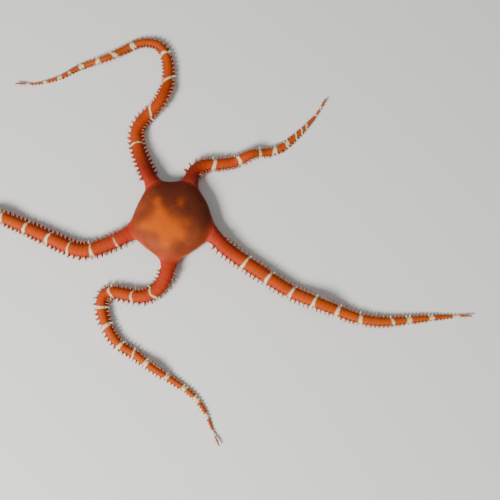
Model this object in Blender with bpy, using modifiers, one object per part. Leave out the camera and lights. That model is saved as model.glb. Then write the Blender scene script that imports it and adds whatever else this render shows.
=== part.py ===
"""A brittle star with a soft, skin-covered disc and five banded arms, life size, lying on a flat floor.

The disc is one node. Each arm is a chain of lengths, one node each, with the comb of short blunt spines
along both sides fused to it. The arms lie on flats at the floor, arch off it in places, and hold the
disc clear of it.
"""

import math
import random

import bmesh
import bpy
from mathutils import Matrix, Vector

MM = 0.001  # every size below is in millimetres
WELD = 1e-6  # in metres
SHARP_ANGLE = 50.0
SEED = 7

# Disc
DISC_RADIUS = 9.7  # to the edge between two arms
DISC_CORNER = 0.95  # how much further the edge reaches in front of an arm
CORNER_SPREAD = 19.0  # degrees over which a corner fades into the edge
DISC_HEIGHT = 4.7  # top of the dome above its underside
DISC_LIFT = 1.0  # underside above the floor
DISC_STEPS = 45
DISC_FROM_ORIGIN = (-0.2, 2.5)  # disc centre from the origin, which is the middle of the animal's box
# Half of the disc's outline in section, as shares of its radius and of its height, from the top down
DISC_PROFILE = (
    (0.0, 1.0), (0.3, 0.985), (0.56, 0.91), (0.77, 0.77), (0.9, 0.59), (0.965, 0.47),
    (1.0, 0.33), (0.985, 0.2), (0.9, 0.07), (0.72, 0.0), (0.0, 0.0),
)

# Mouth and slits on the underside
MOUTH_REACH = 2.7
MOUTH_SLIT_WIDTH = 0.55
MOUTH_DEPTH = 1.5
MOUTH_BORE = 0.75
MOUTH_SIDES = 10
BURSAL_SLIT = (4.2, 0.5, 0.6)  # length, width, depth
BURSAL_SLIT_AT = (6.6, 2.35)  # from the disc's centre: along the arm, and to its side

# Arms
ARM_ROOT = 11.3  # disc centre to the joint between disc and arm
ROOT_WIDTH = 3.65
ROOT_FLARE = (0.5, 1.2)  # extra width right at the joint, and the distance over which it fades
TIP_WIDTH = 0.42
HEIGHT_SHARE = 0.82  # height over width
ROOT_SLOPE_LENGTH = 9.0  # over which an arm comes down from the disc to the floor
NODE_GAP = 0.3
RING_SPACING = 3.0  # a ring at least this often
RING_TURN = 15.0  # or at least each time the arm has turned this far, in degrees
END_RING = 0.4  # from a flat end to the next ring, which keeps the end square to the arm
COURSE_STEP = 0.1
COURSE_SMOOTHING = 1.3  # half the length over which a course is averaged
# An arm in section: across as a share of half its width, up as a share of its height. The first two are
# its flat.
ARM_SECTION = (
    (-0.52, 0.0), (0.52, 0.0), (0.94, 0.24), (1.0, 0.52), (0.72, 0.85),
    (0.0, 1.0), (-0.72, 0.85), (-1.0, 0.52), (-0.94, 0.24),
)
# The stub of an arm on the disc: distance from the centre, width, height, and drop below the disc's underside
STUB = (
    (3.2, 2.6, 2.0, 0.3), (7.6, 7.2, 3.1, 0.3), (8.8, 6.2, 3.3, 0.3), (9.9, 4.9, 3.3, 0.26),
)
ROOT_LIFT = 0.78  # underside of an arm at its root above the floor

# Spines, on the sides of every arm
SPINE_LENGTH = 0.9  # out of the skin, where the arm is widest
SPINE_WIDTH = 0.56
SPINE_WIDEST_SHARE = 0.6  # of the arm's own width, towards the tip
SPINE_TIP_SHARE = 0.42  # blunt: width of the tip over that of the root
SPINE_SHRINK_POWER = 0.6  # shorter where the arm is thinner
SPINE_LEAST_SHARE = 0.42
SPINE_PITCH = 1.25
SPINE_SIDES = 4
SPINE_SUNK = 0.45  # share of half the arm's width that a root goes in
FIRST_SPINE = 1.8  # past the root of the arm
LAST_SPINE = 3.2  # before the tip of the arm
THINNEST_WITH_SPINES = 0.85  # an arm narrower than this carries no more of them
SPINE_LEAN = 13.0  # degrees towards the arm's tip
LEAN_SPREAD = 5.0
LENGTH_SPREAD = 0.1
JOINT_CLEARANCE = 0.55  # from a spine to the joint between two lengths of an arm
# Spines stand in two rows: height on the arm as a share of its own, and degrees above the level
SPINE_ROWS = ((0.66, 24.0), (0.38, 2.0))

# Each arm's course over the floor from the disc's centre, with +X to the right and +Y away from the viewer,
# the number of lengths it is divided into, and where it arches off the floor: start, end and height.
# Its width is ROOT_WIDTH * (1 - share ** a) ** b, where a and b are its taper. A high a keeps it wide for
# longer.
ARMS = {
    "upper_left": {
        "course": (
            (0, 0), (-5.2, 9.6), (-7.8, 15.1), (-9.6, 20.5), (-9.7, 24.5), (-7.3, 28), (-4.3, 30.8),
            (-2.5, 34.9), (-1.9, 39), (-2.3, 43.5), (-4.3, 47.5), (-8, 48.6), (-11.8, 47.5),
            (-18.2, 43.7), (-24.8, 41.9), (-30.4, 38.8), (-36.4, 37.2), (-42, 37),
        ),
        "lengths": 5,
        "arches": ((30, 43, 1.1), (61, 75, 0.9)),
        "taper": (1.0, 0.75),
    },
    "upper_right": {
        "course": (
            (0, 0), (4, 9.2), (5.1, 12.9), (7.5, 14.5), (10.2, 14.8), (13.5, 15.1), (17.4, 16.2),
            (20.9, 17.7), (24, 18.2), (27.3, 19.4), (30.4, 22), (33.6, 25.2), (36.6, 28.8), (39, 33),
        ),
        "lengths": 3,
        "arches": ((24, 34, 1.3),),
        "taper": (1.0, 0.9),
    },
    "right": {
        "course": (
            (0, 0), (9.4, -3.4), (12.4, -6.4), (17.7, -10.3), (23.7, -14.3), (29.2, -17.8), (35, -20.5),
            (40.8, -22.6), (46.2, -24.5), (51.2, -25.2), (56.8, -24.9), (64, -24.2), (70, -23.8),
            (73.8, -23.8),
        ),
        "lengths": 4,
        "arches": ((34, 50, 1.2),),
        "taper": (1.8, 0.8),
    },
    "lower": {
        "course": (
            (0, 0), (-0.6, -9.8), (-1.4, -14), (-3.3, -17.2), (-6.5, -19.1), (-10.2, -18.8), (-13.5, -18),
            (-16, -17.9), (-17.3, -19.8), (-16.9, -23.1), (-15.3, -27.1), (-12.7, -30.7), (-8.9, -33),
            (-4.1, -36.6), (1, -39.7), (5.5, -42.9), (8.4, -46.7), (10.5, -51.5), (12.1, -55),
        ),
        "lengths": 5,
        "arches": ((50, 62, 1.0),),
        "taper": (1.0, 0.72),
    },
    "left": {
        "course": (
            (0, 0), (-9.3, -2.7), (-12.8, -4.7), (-16.5, -6.2), (-20.4, -7.5), (-23.4, -7.5), (-27, -6.1),
            (-31.5, -4), (-37.2, -1.4), (-43.2, 1), (-49, 2.2), (-55.4, 2.1), (-61.4, 0.3), (-66.6, -3.4),
            (-70.6, -8), (-73.2, -12.6),
        ),
        "lengths": 4,
        "arches": ((40, 55, 1.1),),
        "taper": (1.8, 0.8),
    },
}
TIP_RISE = (5.0, 0.7)  # the last stretch of an arm, and how far it curls off the floor


def clear_scene():
    for obj in list(bpy.data.objects):
        bpy.data.objects.remove(obj)


def new_collection(name):
    collection = bpy.data.collections.new(name)
    bpy.context.scene.collection.children.link(collection)
    return collection


def linear(hex_colour):
    """An sRGB hex colour as linear RGBA."""
    channels = [int(hex_colour[i:i + 2], 16) / 255 for i in (0, 2, 4)]
    return [c / 12.92 if c <= 0.04045 else ((c + 0.055) / 1.055) ** 2.4 for c in channels] + [1.0]


def skin_material(name, hex_colour, roughness):
    material = bpy.data.materials.new(name)
    material.use_nodes = True
    shader = material.node_tree.nodes["Principled BSDF"]
    shader.inputs["Base Color"].default_value = linear(hex_colour)
    shader.inputs["Roughness"].default_value = roughness
    shader.inputs["Metallic"].default_value = 0.0
    return material


def evaluated_copy(obj):
    """The object's mesh with its modifiers or bevel applied."""
    return bpy.data.meshes.new_from_object(obj.evaluated_get(bpy.context.evaluated_depsgraph_get()))


def smoothstep(x):
    x = min(1.0, max(0.0, x))
    return x * x * (3 - 2 * x)


class Arm:
    """One arm: its course over the floor, and its width, height and lift at any distance along it."""

    def __init__(self, name, course, lengths, arches, taper):
        self.name = name
        self.lengths = lengths
        self.arches = arches
        self.taper = taper
        self.line = averaged(evenly_spaced(rounded_course([Vector(p) for p in course])))
        self.length = (len(self.line) - 1) * COURSE_STEP

    def point(self, along):
        """The course's own place on the floor, relative to the disc's centre."""
        index = min(max(along / COURSE_STEP, 0.0), len(self.line) - 1.001)
        low = int(index)
        return self.line[low].lerp(self.line[low + 1], index - low)

    def ahead(self, along):
        """The direction in which the arm runs there."""
        reach = 3 * COURSE_STEP
        return (self.point(along + reach) - self.point(along - reach)).normalized()

    def left(self, along):
        ahead = self.ahead(along)
        return Vector((-ahead.y, ahead.x))

    def share(self, along):
        """0 at the root and 1 at the tip."""
        return min(1.0, max(0.0, (along - ARM_ROOT) / (self.length - ARM_ROOT)))

    def width(self, along):
        flare, fade = ROOT_FLARE
        fullness, power = self.taper
        tapered = ROOT_WIDTH * (1 - self.share(along) ** fullness) ** power
        return max(TIP_WIDTH, tapered + flare * math.exp((ARM_ROOT - along) / fade))

    def height(self, along):
        return self.width(along) * HEIGHT_SHARE

    def lift(self, along):
        """How far the arm's flat underside is above the floor."""
        lift = ROOT_LIFT * (1 - smoothstep((along - ARM_ROOT) / ROOT_SLOPE_LENGTH))
        for start, end, height in self.arches:
            if start < along < end:
                lift += height * math.sin(math.pi * (along - start) / (end - start)) ** 2
        curl_length, curl_height = TIP_RISE
        return lift + curl_height * smoothstep((along - self.length + curl_length) / curl_length)

    def place(self, along, across, up):
        """A point of the arm, from how far it is to the left of its course and above its underside."""
        flat = self.point(along) + self.left(along) * across + Vector(DISC_FROM_ORIGIN)
        return Vector((flat.x, flat.y, self.lift(along) + up)) * MM

    def joints(self):
        """Where the arm is divided, from its root to its tip, midway between two spines."""
        run = (self.length - ARM_ROOT) / self.lengths
        first = ARM_ROOT + FIRST_SPINE + SPINE_PITCH / 2
        inner = [ARM_ROOT + run * i for i in range(1, self.lengths)]
        snapped = [first + SPINE_PITCH * round((joint - first) / SPINE_PITCH) for joint in inner]
        return [ARM_ROOT, *snapped, self.length]

    def stations(self, start, end):
        """Ring places from start to end: closer together where the arm bends, and near the flat ends."""
        places = [start, start + END_RING]
        along, turned = start + END_RING, 0.0
        while along < end - END_RING - RING_SPACING / 3:
            turned += math.degrees(self.ahead(along).angle(self.ahead(along + COURSE_STEP)))
            along += COURSE_STEP
            if along - places[-1] > RING_SPACING or turned > RING_TURN:
                places.append(along)
                turned = 0.0
        return [*places, end - END_RING, end]


def rounded_course(points):
    """Many points on a smooth curve through the given ones."""
    ends = [points[0] * 2 - points[1], *points, points[-1] * 2 - points[-2]]
    line = []
    for before, here, there, after in zip(ends, ends[1:], ends[2:], ends[3:]):
        for i in range(40):
            t = i / 40
            line.append(
                0.5 * (2 * here + (there - before) * t + (2 * before - 5 * here + 4 * there - after) * t ** 2
                       + (3 * here - before - 3 * there + after) * t ** 3)
            )
    return [*line, points[-1]]


def evenly_spaced(line):
    """The same line with its points COURSE_STEP apart."""
    made, carry = [line[0]], 0.0
    for here, there in zip(line, line[1:]):
        length = (there - here).length
        while carry + length >= COURSE_STEP:
            here = here.lerp(there, (COURSE_STEP - carry) / length)
            length = (there - here).length
            made.append(here)
            carry = 0.0
        carry += length
    return made


def averaged(line):
    """The line with its tight turns eased, and its two ends kept."""
    reach = round(COURSE_SMOOTHING / COURSE_STEP)
    eased = []
    for i in range(len(line)):
        near = min(reach, i, len(line) - 1 - i)
        window = line[i - near:i + near + 1]
        eased.append(sum(window, Vector((0.0, 0.0))) / len(window))
    return evenly_spaced(eased)


def mesh_object(name, bm, collection):
    bmesh.ops.recalc_face_normals(bm, faces=bm.faces)
    mesh = bpy.data.meshes.new(name)
    bm.to_mesh(mesh)
    bm.free()
    obj = bpy.data.objects.new(name, mesh)
    collection.objects.link(obj)
    return obj


def loft(name, rings, collection):
    """A closed body through rings of equally many points, with flat ends."""
    bm = bmesh.new()
    rows = [[bm.verts.new(point) for point in ring] for ring in rings]
    for near, far in zip(rows, rows[1:]):
        for i in range(len(near)):
            bm.faces.new((near[i - 1], near[i], far[i], far[i - 1]))
    bm.faces.new(rows[0])
    bm.faces.new(rows[-1])
    bmesh.ops.triangulate(bm, faces=bm.faces)
    return mesh_object(name, bm, collection)


def boolean(target, others, operation):
    """Joins or cuts target with every object in the collection, applies it and removes them."""
    modifier = target.modifiers.new(operation.title(), "BOOLEAN")
    modifier.operation = operation
    modifier.operand_type = "COLLECTION"
    modifier.collection = others
    modifier.solver = "EXACT"
    result = evaluated_copy(target)
    target.modifiers.remove(modifier)
    target.data = result
    for obj in list(others.objects):
        bpy.data.objects.remove(obj)
    bpy.data.collections.remove(others)


def keep_largest_body(obj):
    """Drops loose scraps and sealed hollows that a union can leave."""
    bm = bmesh.new()
    bm.from_mesh(obj.data)
    left, bodies = set(bm.verts), []
    while left:
        body, edge = set(), [left.pop()]
        while edge:
            vert = edge.pop()
            body.add(vert)
            for other in (e.other_vert(vert) for e in vert.link_edges):
                if other in left:
                    left.remove(other)
                    edge.append(other)
        bodies.append(body)
    largest = max(bodies, key=len)
    bmesh.ops.delete(bm, geom=[v for v in bm.verts if v not in largest], context="VERTS")
    bm.to_mesh(obj.data)
    bm.free()


def finish_node(obj, material):
    keep_largest_body(obj)
    obj.data.materials.clear()
    obj.data.materials.append(material)
    obj.data.shade_smooth()
    obj.data.set_sharp_from_angle(angle=math.radians(SHARP_ANGLE))


def section_reach(level):
    """How far the arm's section reaches to its side at a height, both as shares."""
    side = [point for point in ARM_SECTION if point[0] >= 0]
    for (near, low), (far, high) in zip(side, side[1:]):
        if low <= level <= high:
            return near + (far - near) * (level - low) / (high - low)
    return 0.0


def spine(arm, along, side, row, draw, collection):
    """A blunt peg rooted in the arm's side. side is 1 on the left and -1 on the right."""
    level, rise = SPINE_ROWS[row]
    width, half = arm.width(along), arm.width(along) / 2
    size = max(SPINE_LEAST_SHARE, (width / ROOT_WIDTH) ** SPINE_SHRINK_POWER)
    length = SPINE_LENGTH * size * (1 + draw.uniform(-LENGTH_SPREAD, LENGTH_SPREAD))
    root_width = min(SPINE_WIDTH, SPINE_WIDEST_SHARE * width)
    skin = arm.place(along, side * half * section_reach(level), level * arm.height(along))
    left, ahead = arm.left(along), arm.ahead(along)
    lean = math.radians(SPINE_LEAN + draw.uniform(-LEAN_SPREAD, LEAN_SPREAD))
    tilt = math.radians(rise)
    flat = left * side * math.cos(lean) + ahead * math.sin(lean)
    out = Vector((flat.x * math.cos(tilt), flat.y * math.cos(tilt), math.sin(tilt)))
    sunk = SPINE_SUNK * half
    bm = bmesh.new()
    bmesh.ops.create_cone(
        bm, cap_ends=True, segments=SPINE_SIDES, radius1=root_width / 2 * MM,
        radius2=root_width / 2 * SPINE_TIP_SHARE * MM, depth=(length + sunk) * MM,
    )
    middle = skin + out * (length - sunk) / 2 * MM
    turn = out.to_track_quat("Z", "Y").to_matrix().to_4x4()
    bmesh.ops.transform(bm, matrix=Matrix.Translation(middle) @ turn, verts=bm.verts)
    return mesh_object("spine", bm, collection)


def spine_places(arm, side):
    """Spines SPINE_PITCH apart along their own side of the arm, so that they don't crowd inside a bend."""
    joints = arm.joints()[1:-1]
    places, along, gone = [], ARM_ROOT + FIRST_SPINE, SPINE_PITCH
    while along < arm.length - LAST_SPINE and arm.width(along) > THINNEST_WITH_SPINES:
        clear = all(abs(along - joint) > JOINT_CLEARANCE for joint in joints)
        if gone >= SPINE_PITCH - COURSE_STEP / 2 and clear:
            places.append(along)
            gone = 0.0
        offset = side * (arm.width(along) + SPINE_LENGTH) / 2
        here = arm.point(along) + arm.left(along) * offset
        there = arm.point(along + COURSE_STEP) + arm.left(along + COURSE_STEP) * offset
        gone += min((there - here).length, COURSE_STEP)
        along += COURSE_STEP
    return places


def poly_curve(name, points, radii, closed, collection):
    data = bpy.data.curves.new(name, "CURVE")
    data.dimensions = "2D" if closed else "3D"
    line = data.splines.new("POLY")
    line.points.add(len(points) - 1)
    for knot, point, radius in zip(line.points, points, radii):
        knot.co = (*point, 1)
        knot.radius = radius
    line.use_cyclic_u = closed
    obj = bpy.data.objects.new(name, data)
    collection.objects.link(obj)
    return obj


def arm_section(collection):
    """The closed outline that is drawn along every arm, for an arm with a half width of 1 m."""
    points = [(x, y * 2 * HEIGHT_SHARE, 0) for x, y in reversed(ARM_SECTION)]
    section = poly_curve("arm_section", points, [1] * len(points), True, collection)
    section.hide_render = True
    section.display_type = "WIRE"
    return section


def arm_length(arm, name, begin, finish, section, collection):
    """The flesh of one length: the section drawn along the course, as a closed mesh."""
    stations = arm.stations(begin, finish)
    points = [arm.place(along, 0, 0) for along in stations]
    radii = [arm.width(along) / 2 * MM for along in stations]
    tube = poly_curve(name + "_course", points, radii, False, collection)
    tube.data.bevel_mode = "OBJECT"
    tube.data.bevel_object = section
    tube.data.twist_mode = "Z_UP"
    tube.data.use_fill_caps = True
    mesh = evaluated_copy(tube)
    bpy.data.objects.remove(tube)
    bm = bmesh.new()
    bm.from_mesh(mesh)
    bmesh.ops.remove_doubles(bm, verts=bm.verts, dist=WELD)
    bmesh.ops.triangulate(bm, faces=bm.faces)
    return mesh_object(name, bm, collection)


def build_arm(arm, section, draw, collection, material):
    joints = arm.joints()
    places = {side: spine_places(arm, side) for side in (1, -1)}
    for number, (start, end) in enumerate(zip(joints, joints[1:]), 1):
        begin = start + NODE_GAP / 2
        finish = end if number == arm.lengths else end - NODE_GAP / 2
        length = arm_length(arm, f"arm_{arm.name}_{number}", begin, finish, section, collection)
        combs = new_collection("spines")
        for side in (1, -1):
            for count, along in enumerate(places[side]):
                if begin < along < finish:
                    spine(arm, along, side, count % len(SPINE_ROWS), draw, combs)
        boolean(length, combs, "UNION")
        finish_node(length, material)


def disc_edge(direction, bearings):
    """The disc's radius in a direction, from the bearings of its arms, both in radians."""
    corner = 0.0
    for bearing in bearings:
        apart = abs((direction - bearing + math.pi) % (2 * math.pi) - math.pi)
        corner = max(corner, math.exp(-(math.degrees(apart) / CORNER_SPREAD) ** 2))
    return DISC_RADIUS + DISC_CORNER * corner


def disc_dome(bearings, collection):
    """A turned dome whose edge is then drawn out in front of each arm."""
    profile = [(r * DISC_RADIUS * MM, 0, z * DISC_HEIGHT * MM) for r, z in DISC_PROFILE]
    mesh = bpy.data.meshes.new("disc_profile")
    mesh.from_pydata(profile, [(i, i + 1) for i in range(len(profile) - 1)], [])
    turned = bpy.data.objects.new("disc_profile", mesh)
    collection.objects.link(turned)
    screw = turned.modifiers.new("Turn", "SCREW")
    screw.steps = screw.render_steps = DISC_STEPS
    screw.use_merge_vertices = True
    screw.merge_threshold = WELD
    mesh = evaluated_copy(turned)
    bpy.data.objects.remove(turned)

    bm = bmesh.new()
    bm.from_mesh(mesh)
    bmesh.ops.remove_doubles(bm, verts=bm.verts, dist=WELD)
    for vert in bm.verts:
        share = math.hypot(vert.co.x, vert.co.y) / (DISC_RADIUS * MM)
        direction = math.atan2(vert.co.y, vert.co.x)
        stretch = 1 + (disc_edge(direction, bearings) / DISC_RADIUS - 1) * share ** 2
        vert.co.x *= stretch
        vert.co.y *= stretch
        vert.co += Vector((*DISC_FROM_ORIGIN, DISC_LIFT)) * MM
    return mesh_object("disc", bm, collection)


def disc_stub(arm, collection):
    """The root of an arm, which runs under the disc from the mouth and flares where it leaves it."""
    end = ARM_ROOT - NODE_GAP / 2
    rings = []
    for along, width, height, drop in STUB:
        rings.append([
            arm.place(along, -x * width / 2, y * height - arm.lift(along) + DISC_LIFT - drop)
            for x, y in ARM_SECTION
        ])
    rings.append([arm.place(end, -x * arm.width(end) / 2, y * arm.height(end)) for x, y in ARM_SECTION])
    loft("stub", rings, collection)


def slot_cutter(arm, along, across, size, collection):
    """An upright box cut into the underside, lying along an arm."""
    length, width, depth = size
    bm = bmesh.new()
    bmesh.ops.create_cube(bm, size=1)
    bmesh.ops.scale(bm, verts=bm.verts, vec=(length * MM, width * MM, 2 * depth * MM))
    ahead = arm.ahead(ARM_ROOT / 2)
    flat = ahead * along + Vector((-ahead.y, ahead.x)) * across + Vector(DISC_FROM_ORIGIN)
    turn = Matrix.Rotation(math.atan2(ahead.y, ahead.x), 4, "Z")
    place = Matrix.Translation(Vector((flat.x, flat.y, DISC_LIFT)) * MM)
    bmesh.ops.transform(bm, matrix=place @ turn, verts=bm.verts)
    mesh_object("slot", bm, collection)


def build_disc(arms, collection, material):
    bearings = [math.atan2(*reversed(arm.ahead(ARM_ROOT / 2))) for arm in arms]
    disc = disc_dome(bearings, collection)
    stubs = new_collection("stubs")
    for arm in arms:
        disc_stub(arm, stubs)
    boolean(disc, stubs, "UNION")

    cutters = new_collection("mouth")
    bm = bmesh.new()
    bmesh.ops.create_cone(
        bm, cap_ends=True, segments=MOUTH_SIDES, radius1=MOUTH_BORE * MM, radius2=MOUTH_BORE * MM,
        depth=2 * MOUTH_DEPTH * MM,
    )
    centre = Vector((*DISC_FROM_ORIGIN, DISC_LIFT)) * MM
    bmesh.ops.translate(bm, verts=bm.verts, vec=centre)
    mesh_object("mouth", bm, cutters)
    for arm in arms:
        slot_cutter(arm, MOUTH_REACH / 2, 0, (MOUTH_REACH, MOUTH_SLIT_WIDTH, MOUTH_DEPTH), cutters)
        for side in (1, -1):
            slot_cutter(arm, BURSAL_SLIT_AT[0], side * BURSAL_SLIT_AT[1], BURSAL_SLIT, cutters)
    boolean(disc, cutters, "DIFFERENCE")
    finish_node(disc, material)


clear_scene()
animal = new_collection("brittle_star")
guides = new_collection("guides")
arm_skin = skin_material("arm_skin", "C4551F", 0.45)
disc_skin = skin_material("disc_skin", "B14A22", 0.4)
animal_arms = [Arm(name, **facts) for name, facts in ARMS.items()]
build_disc(animal_arms, animal, disc_skin)
outline = arm_section(guides)
chance = random.Random(SEED)
for each in animal_arms:
    build_arm(each, outline, chance, animal, arm_skin)
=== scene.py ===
import math
import random

import bmesh
import bpy
import numpy as np
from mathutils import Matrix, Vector, kdtree, noise


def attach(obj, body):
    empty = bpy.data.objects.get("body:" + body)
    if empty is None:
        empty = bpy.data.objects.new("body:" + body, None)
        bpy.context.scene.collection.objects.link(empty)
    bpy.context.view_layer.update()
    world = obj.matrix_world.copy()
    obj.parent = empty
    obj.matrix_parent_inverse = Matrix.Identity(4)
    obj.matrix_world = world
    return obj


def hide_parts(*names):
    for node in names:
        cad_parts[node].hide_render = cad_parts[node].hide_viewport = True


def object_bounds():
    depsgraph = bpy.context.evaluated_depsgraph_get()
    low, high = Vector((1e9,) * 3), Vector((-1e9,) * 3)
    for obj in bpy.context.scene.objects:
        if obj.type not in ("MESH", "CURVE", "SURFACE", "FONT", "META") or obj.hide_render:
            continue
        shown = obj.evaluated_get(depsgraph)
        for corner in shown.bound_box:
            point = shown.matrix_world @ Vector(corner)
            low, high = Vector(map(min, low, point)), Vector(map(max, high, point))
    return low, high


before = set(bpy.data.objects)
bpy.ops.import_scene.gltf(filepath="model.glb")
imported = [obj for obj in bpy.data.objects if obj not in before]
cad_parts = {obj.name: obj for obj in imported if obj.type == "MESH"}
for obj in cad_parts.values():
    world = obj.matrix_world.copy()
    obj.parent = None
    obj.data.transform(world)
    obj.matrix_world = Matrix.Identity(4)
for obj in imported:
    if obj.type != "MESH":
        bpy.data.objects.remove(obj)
cad_box = [list(corner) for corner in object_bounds()]


# Skin
# The living animal is wrapped in one soft, wet skin, from the disc's middle to the tips of its five arms. It
# hides the limestone plates and the joints of the arms, which only show as faint creases across them. It is
# modelled as one cage, a ring drawn in to a disc with five arms pulled out of its side, and subdivided.

MM = 0.001
DISC_CENTRE = Vector((-0.2, 2.5)) * MM
DISC_RADIUS = 9.7 * MM
DISC_CORNER = 0.95 * MM
CORNER_SPREAD = math.radians(19)
DISC_HEIGHT = 4.7 * MM
DISC_LIFT = 1.0 * MM
ARM_ROOT = 11.3 * MM
ROOT_WIDTH = 3.65 * MM
ROOT_FLARE = 0.5 * MM
FLARE_FADE = 1.2 * MM
TIP_WIDTH = 0.42 * MM
HEIGHT_SHARE = 0.82
ROOT_LIFT = 0.78 * MM
ROOT_SLOPE_LENGTH = 9.0 * MM
TIP_CURL_LENGTH = 5.0 * MM
TIP_CURL_HEIGHT = 0.7 * MM
COURSE_STEP = 0.1 * MM
COURSE_SMOOTHING = 1.3 * MM
CURVE_STEPS = 40  # between two points that a course is drawn through
SEGMENT = 1.25 * MM  # one arm joint, where the arm is widest
TIP_SEGMENT = 0.85 * MM

# Each arm's course over the floor in mm from the disc's centre, where it arches off the floor (start, end and
# height), and the two powers of its taper: it narrows as (1 - share ** a) ** b from its root to its tip.
ARM_COURSES = {
    "upper_left": (
        ((0, 0), (-5.2, 9.6), (-7.8, 15.1), (-9.6, 20.5), (-9.7, 24.5), (-7.3, 28), (-4.3, 30.8),
         (-2.5, 34.9), (-1.9, 39), (-2.3, 43.5), (-4.3, 47.5), (-8, 48.6), (-11.8, 47.5), (-18.2, 43.7),
         (-24.8, 41.9), (-30.4, 38.8), (-36.4, 37.2), (-42, 37)),
        ((30, 43, 1.1), (61, 75, 0.9)),
        (1.0, 0.75),
    ),
    "upper_right": (
        ((0, 0), (4, 9.2), (5.1, 12.9), (7.5, 14.5), (10.2, 14.8), (13.5, 15.1), (17.4, 16.2),
         (20.9, 17.7), (24, 18.2), (27.3, 19.4), (30.4, 22), (33.6, 25.2), (36.6, 28.8), (39, 33)),
        ((24, 34, 1.3),),
        (1.0, 0.9),
    ),
    "right": (
        ((0, 0), (9.4, -3.4), (12.4, -6.4), (17.7, -10.3), (23.7, -14.3), (29.2, -17.8), (35, -20.5),
         (40.8, -22.6), (46.2, -24.5), (51.2, -25.2), (56.8, -24.9), (64, -24.2), (70, -23.8),
         (73.8, -23.8)),
        ((34, 50, 1.2),),
        (1.8, 0.8),
    ),
    "lower": (
        ((0, 0), (-0.6, -9.8), (-1.4, -14), (-3.3, -17.2), (-6.5, -19.1), (-10.2, -18.8), (-13.5, -18),
         (-16, -17.9), (-17.3, -19.8), (-16.9, -23.1), (-15.3, -27.1), (-12.7, -30.7), (-8.9, -33),
         (-4.1, -36.6), (1, -39.7), (5.5, -42.9), (8.4, -46.7), (10.5, -51.5), (12.1, -55)),
        ((50, 62, 1.0),),
        (1.0, 0.72),
    ),
    "left": (
        ((0, 0), (-9.3, -2.7), (-12.8, -4.7), (-16.5, -6.2), (-20.4, -7.5), (-23.4, -7.5), (-27, -6.1),
         (-31.5, -4), (-37.2, -1.4), (-43.2, 1), (-49, 2.2), (-55.4, 2.1), (-61.4, 0.3), (-66.6, -3.4),
         (-70.6, -8), (-73.2, -12.6)),
        ((40, 55, 1.1),),
        (1.8, 0.8),
    ),
}


def smoothstep(x):
    x = min(1.0, max(0.0, x))
    return x * x * (3 - 2 * x)


def evenly_spaced(line):
    """The same line with its points COURSE_STEP apart."""
    made, carry = [line[0]], 0.0
    for here, there in zip(line, line[1:]):
        length = (there - here).length
        while carry + length >= COURSE_STEP:
            here = here.lerp(there, (COURSE_STEP - carry) / length)
            length = (there - here).length
            made.append(here)
            carry = 0.0
        carry += length
    return made


def rounded_course(points):
    """A smooth curve through the points, with its tight turns eased."""
    ends = [points[0] * 2 - points[1], *points, points[-1] * 2 - points[-2]]
    line = []
    for before, here, there, after in zip(ends, ends[1:], ends[2:], ends[3:]):
        for i in range(CURVE_STEPS):
            t = i / CURVE_STEPS
            line.append(
                0.5 * (2 * here + (there - before) * t + (2 * before - 5 * here + 4 * there - after) * t ** 2
                       + (3 * here - before - 3 * there + after) * t ** 3)
            )
    line = evenly_spaced([*line, points[-1]])
    reach = round(COURSE_SMOOTHING / COURSE_STEP)
    eased = []
    for i in range(len(line)):
        near = min(reach, i, len(line) - 1 - i)
        window = line[i - near:i + near + 1]
        eased.append(sum(window, Vector((0.0, 0.0))) / len(window))
    return evenly_spaced(eased)


class Arm:
    """One arm: its course over the floor, and its width, height and lift at any distance along it."""

    def __init__(self, name, course, arches, taper):
        self.name = name
        self.taper = taper
        self.arches = [[value * MM for value in arch] for arch in arches]
        self.line = rounded_course([Vector(point) * MM for point in course])
        self.length = (len(self.line) - 1) * COURSE_STEP
        self.segments = self.segment_ends()
        self.bearing = math.atan2(*reversed(self.ahead(ARM_ROOT / 2)))

    def point(self, along):
        index = min(max(along / COURSE_STEP, 0.0), len(self.line) - 1.001)
        low = int(index)
        return self.line[low].lerp(self.line[low + 1], index - low)

    def ahead(self, along):
        reach = 3 * COURSE_STEP
        return (self.point(along + reach) - self.point(along - reach)).normalized()

    def left(self, along):
        ahead = self.ahead(along)
        return Vector((-ahead.y, ahead.x))

    def share(self, along):
        return min(1.0, max(0.0, (along - ARM_ROOT) / (self.length - ARM_ROOT)))

    def tapered(self, along):
        fullness, power = self.taper
        return max(TIP_WIDTH, ROOT_WIDTH * (1 - self.share(along) ** fullness) ** power)

    def width(self, along):
        return self.tapered(along) + ROOT_FLARE * math.exp(min(1, (ARM_ROOT - along) / FLARE_FADE))

    def height(self, along):
        return self.tapered(along) * HEIGHT_SHARE

    def lift(self, along):
        """How far the arm's flat underside is above the floor."""
        lift = ROOT_LIFT * (1 - smoothstep((along - ARM_ROOT) / ROOT_SLOPE_LENGTH))
        for start, end, height in self.arches:
            if start < along < end:
                lift += height * math.sin(math.pi * (along - start) / (end - start)) ** 2
        return lift + TIP_CURL_HEIGHT * smoothstep((along - self.length) / TIP_CURL_LENGTH + 1)

    def place(self, along, across, up):
        """A point of the arm, from how far it is to the left of its course and above its underside."""
        flat = self.point(along) + self.left(along) * across + DISC_CENTRE
        return Vector((flat.x, flat.y, self.lift(along) + up))

    def segment_ends(self):
        """Where one arm joint ends and the next begins, from the root to the tip."""
        ends, along = [ARM_ROOT], ARM_ROOT
        while along < self.length:
            along += SEGMENT + (TIP_SEGMENT - SEGMENT) * self.share(along)
            ends.append(along)
        if ends[-1] > self.length - TIP_SEGMENT / 2:
            ends.pop()
        return [*ends, self.length]


arms = [Arm(name, *facts) for name, facts in ARM_COURSES.items()]


def turn_between(direction, other):
    return (direction - other + math.pi) % math.tau - math.pi


def level_ray(direction):
    return Vector((math.cos(direction), math.sin(direction)))


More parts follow.
